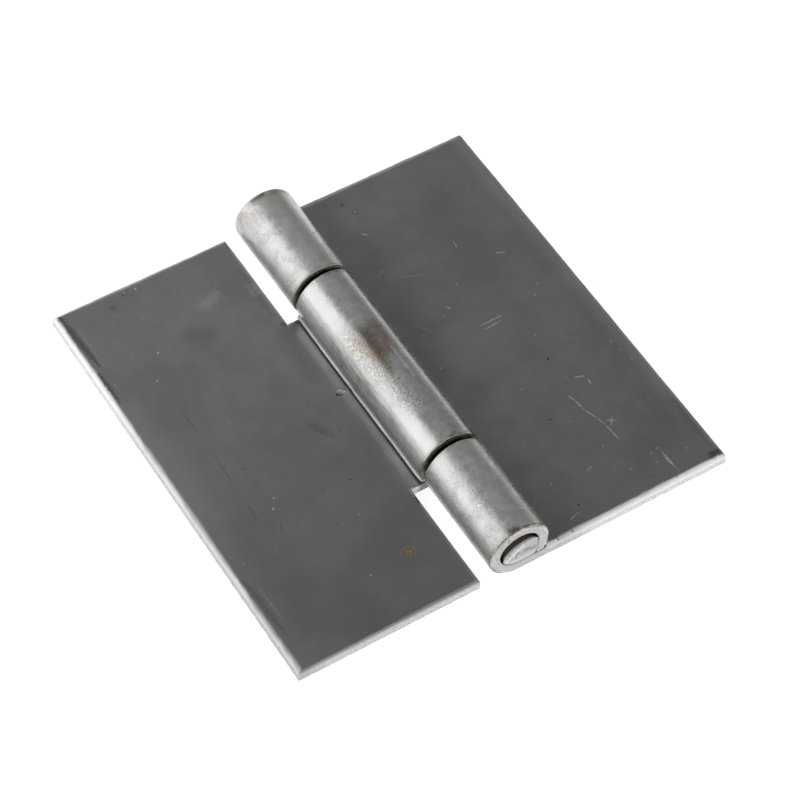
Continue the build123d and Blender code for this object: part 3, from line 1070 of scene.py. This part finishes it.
def outer_knuckle_scuffs(steel):
    """Blotches and fine scuffs on the outer knuckles."""
    bench = steel.bench
    steel.broad = steel.noise(2.4, 3.0, 0.6, seed=16)
    blotches = bench.fade(steel.broad, 0.42, 0.62)
    steel.scuff = bench.plus(bench.times(blotches, 0.7), 0.25)
    steel.paint(steel.rolled, 0.4, (0.70, 0.70, 0.69))
    speckled = bench.times(bench.fade(steel.noise(0.32, 2.0, 0.6, seed=19), 0.42, 0.6), steel.rolled)
    speckled = bench.times(speckled, bench.fade(steel.parts["X"], 0.5, -1.8, 0.25, 1.0))
    steel.tint(speckled, bench.plus(bench.times(blotches, 0.45), 0.2), (0.64, 0.64, 0.63))
    steel.tint(bench.times(blotches, steel.rolled), 0.4, (0.80, 0.80, 0.79))
    steel.dull(steel.rolled, 0.06)


def near_knuckle_end(steel):
    """Stains on the near knuckle's rim, a dark spot of painted shade on its end face where the curl comes
    down on the leaf, and flecks on its end face.
    """
    steel.tint(steel.marks([((-1.7, -39.2, 10.8), (-0.6, -39.5, 10.95), 0.85, 0.9, 0, 1.6),
                            ((0.8, -39.7, 10.9), (4.2, -39.8, 9.1), 0.42, 0.9, 0, 1.6)]), 0.85,
               (0.34, 0.29, 0.21))
    # painted shade at the seam, where the curl's end face meets the leaf
    steel.paint(steel.mark((5.25, -40.0, 2.75), (5.0, -40.0, 2.3), 0.55, 0.4, 0.2, 0.6), 0.92, grey(0.04))
    steel.paint(steel.marks([((-2.1, -40, 9.6), (-2.4, -40, 9.2), 0.16, 0.6, 0, 1.5),
                             ((-4.6, -40, 8.4), (-2.9, -40, 10.0), 0.09, 0.6, 0.4, 2.5),
                             ((3.3, -40, 9.0), (3.5, -40, 8.7), 0.1, 0.6, 0, 2.0)]), 0.8, grey(0.14))


def outer_knuckle_stains(steel):
    """Brown, pink and dark stains towards the two ends of the barrel, and light scratches."""
    bench = steel.bench
    y = steel.parts["Y"]
    ends = bench.most(bench.fade(y, 37.2, 39.0), bench.fade(y, -38.9, -39.8))
    ends = bench.times(bench.times(ends, bench.fade(steel.broad, 0.35, 0.6)), steel.rolled)
    steel.tint(ends, 0.5, (0.62, 0.57, 0.47))
    steel.tint(steel.mark((-4.6, 39.0, 8.5), (-4.2, 36.5, 9.0), 1.2, 0.9, 0, 1.5), 0.5, (0.95, 0.80, 0.74))
    far_band = bench.times(bench.fade(bench.plus(y, steel.ragged), 37.4, 38.3), steel.rolled)
    steel.tint(bench.times(far_band, bench.fade(steel.parts["X"], -3.6, -1.0)), 0.5, (0.72, 0.72, 0.68))
    far_stain = steel.mark((-2.4, 38.8, 10.4), (-0.2, 38.8, 11.0), 0.7, 0.9, 0.2, 1.6)
    steel.tint(far_stain, 0.75, (0.24, 0.23, 0.20))
    steel.paint(steel.mark((3.2, 28.2, 10.0), (3.2, 27.9, 10.0), 0.2, 0.6, 0, 1.0), 0.8, grey(0.06))
    light = steel.marks([((1.2, -35.8, 10.9), (2.9, -36.4, 10.2), 0.14, 0.7, 0.7, 1.0),
                         ((-3.0, -32.2, 10.1), (-2.7, -32.5, 10.3), 0.22, 0.7, 0, 2.5),
                         ((-2.0, -34.0, 10.6), (-1.6, -34.6, 10.7), 0.16, 0.7, 0, 2.0)])
    steel.paint(light, 0.6, grey(0.88))


def near_rim_line(steel):
    """Broken dark line round the near knuckle, just inside its rim."""
    bench = steel.bench
    rim_line = bench.fade(bench.math("ABSOLUTE", bench.plus(steel.parts["Y"], 39.72)), 0.15, 0.06)
    rim_line = bench.times(rim_line, bench.fade(steel.noise(0.7, 2.0, 0.6, seed=18), 0.47, 0.56))
    steel.paint(bench.times(rim_line, steel.rolled), 0.75, grey(0.12))


LEFT_LAYERS = (left_tones, left_scratches, left_burrs, left_rust, left_gouge, left_barrel_line,
               middle_knuckle_scuffs, middle_knuckle_stain, middle_knuckle_sides)
RIGHT_LAYERS = (right_tones, right_scratches, right_nicks, right_edge_stains, outer_knuckle_scuffs,
                near_knuckle_end, outer_knuckle_stains, near_rim_line)


def pin_finish(mark_tree):
    """Drawn rod, dull where it was cropped and pressed, and painted dark inside the barrel as painted shade.
    """
    steel = Finish("cropped pin steel", mark_tree)
    bench = steel.bench
    grain = steel.noise(0.3, 3.0, 0.6, seed=11)
    blotch = steel.noise(1.1, 3.0, 0.6, seed=12)
    steel.base = bench.blend(bench.fade(grain, 0.3, 0.7), (0.40, 0.40, 0.385), (0.62, 0.62, 0.61))
    steel.paint(bench.fade(steel.parts["Z"], 3.4, 2.4), 0.8, (0.66, 0.66, 0.65))
    steel.paint(steel.marks([((1.5, -39.9, 4.3), (2.7, -39.9, 4.0), 0.85, 0.9, 0, 2.6),
                             ((-0.7, -39.9, 3.3), (0.0, -39.9, 4.3), 0.5, 0.9, 0, 2.6)]), 0.8,
                (0.22, 0.235, 0.195))
    steel.paint(steel.mark((-2.4, -39.9, 3.4), (0.9, -39.9, 5.9), 0.34, 0.8, 0.3, 3.2), 0.75, grey(0.92))
    steel.paint(steel.specks(0.6, 0.16, 0.5, 13), 0.5, grey(0.20))
    # painted shade: the pin is painted nearly black inside the barrel
    from_middle = bench.math("ABSOLUTE", bench.minus(steel.parts["Y"], PIN_MIDDLE))
    inside = bench.fade(from_middle, PIN_HALF_LENGTH - 0.1, PIN_HALF_LENGTH - 0.4)
    steel.paint(inside, 0.95, (0.03, 0.028, 0.024))
    steel.rough = bench.fade(grain, 0.2, 0.8, 0.34, 0.52)
    steel.dull(inside, 0.2)
    return steel.surface([(grain, 0.03), (blotch, 0.10)])


# Floor, light and camera


def white_floor():
    """A white floor that shows pure white to the camera and in the metal, and keeps the hinge's shadow.

    The camera sees the white studio through it, so a leaf that swings below it isn't hidden.
    """
    mesh = bpy.data.meshes.new("floor")
    corners = ((-1, -1), (1, -1), (1, 1), (-1, 1))
    mesh.from_pydata([(FLOOR_HALF * x, FLOOR_HALF * y, FLOOR_LEVEL) for x, y in corners], [], [(0, 1, 2, 3)])
    floor = add_object("floor", mesh)
    paint = bpy.data.materials.new("white paper")
    paint.use_nodes = True
    bench = Bench(paint.node_tree)
    matt = bench.node("ShaderNodeBsdfDiffuse", {"Color": colour(grey(FLOOR_TONE))})
    path = bench.node("ShaderNodeLightPath").outputs
    mirrored = bench.most(path["Is Glossy Ray"], path["Is Transmission Ray"])
    glow = bench.node("ShaderNodeEmission", {"Color": colour(grey(1.0)),
                                             "Strength": bench.times(mirrored, FLOOR_WHITE)})
    seen = bench.times(path["Is Camera Ray"], FLOOR_WHITE)
    through = bench.node("ShaderNodeBsdfTransparent", {"Color": seen})
    lit = bench.node("ShaderNodeAddShader", {0: matt, 1: glow})
    both = bench.node("ShaderNodeAddShader", {0: lit, 1: through})
    bench.node("ShaderNodeOutputMaterial", {"Surface": both})
    mesh.materials.append(paint)
    return floor


def studio_world():
    """Soft studio room: white round the horizon and below, greyer overhead."""
    world = bpy.data.worlds.new("studio")
    bpy.context.scene.world = world
    world.use_nodes = True
    bench = Bench(world.node_tree)
    direction = bench.node("ShaderNodeTexCoord").outputs["Generated"]
    side, depth, up = bench.node("ShaderNodeSeparateXYZ", {"Vector": direction}).outputs
    horizon = bench.fade(side, -0.2, 0.8, 1.0, 0.35)
    level = bench.fade(up, 0.0, 0.33, horizon, 0.27)
    behind = bench.vector("DOT_PRODUCT", direction, (0.1, 0.85, 0.52), out="Value")
    level = bench.plus(level, bench.fade(behind, 0.80, 1.0, 0.0, 0.30))
    level = bench.plus(level, bench.fade(depth, -0.12, -0.5, 0.0, 0.60))
    level = bench.most(level, bench.node("ShaderNodeLightPath").outputs["Is Camera Ray"])
    back = bench.node("ShaderNodeBackground", {"Color": colour(grey(1.0)), "Strength": level})
    bench.node("ShaderNodeOutputWorld", {"Surface": back})


def soft_box(name, direction, distance, size, radiance):
    """A large soft lamp that faces the hinge."""
    lamp = bpy.data.lights.new(name, "AREA")
    lamp.shape = "RECTANGLE"
    lamp.size = size[0]
    lamp.size_y = size[1]
    lamp.energy = radiance * math.pi * size[0] * size[1]
    holder = add_object(name, lamp)
    way = Vector(direction).normalized()
    holder.location = way * distance
    holder.rotation_euler = way.to_track_quat("Z", "Y").to_euler()


def camera():
    """The camera, which looks down on the hinge from the near left."""
    lens = bpy.data.cameras.new("camera")
    lens.sensor_width = 36.0
    lens.lens = CAMERA_LENS
    lens.clip_start = 0.01
    lens.clip_end = 20.0
    holder = add_object("camera", lens)
    right = Vector(CAMERA_RIGHT).normalized()
    forward = Vector(CAMERA_FORWARD).normalized()
    up = right.cross(forward).normalized()
    turn = Matrix((right, up, -forward)).transposed().to_4x4()
    holder.matrix_world = Matrix.Translation(Vector(CAMERA_PLACE) * MM) @ turn
    bpy.context.scene.camera = holder


# Putting it together

bpy.context.scene.view_settings.view_transform = "Standard"
camera()
studio_world()
soft_box("left softbox", (-0.71, 0.49, 0.51), 0.6, (0.8, 0.5), 1.22)
white_floor()

mark_tree = mark_group()
rolling_tree = roll_tree()

finish = leaf_finish("rolled steel with one knuckle", mark_tree, (grey(0.285), grey(0.335)), LEFT_LAYERS)
blank, turn = one_knuckle_blank()
one_leaf = roll("one_knuckle_leaf_rolled", blank.mesh("one_knuckle_blank"), rolling_tree, turn, -1, finish)
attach(one_leaf, "swinging_leaf")
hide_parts("one_knuckle_leaf")

finish = leaf_finish("rolled steel with two knuckles", mark_tree, (grey(0.250), grey(0.300)), RIGHT_LAYERS)
blank, turn = two_knuckle_blank()
two_leaf = roll("two_knuckle_leaf_rolled", blank.mesh("two_knuckle_blank"), rolling_tree, turn, 1, finish)
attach(two_leaf, "pinned_leaf")
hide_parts("two_knuckle_leaf")

pin = add_object("hinge_pin_pressed", pin_mesh())
clean_mesh(pin.data, 50.0)
pin.data.materials.append(pin_finish(mark_tree))
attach(pin, "pinned_leaf")
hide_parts("hinge_pin")

bpy.context.view_layer.update()
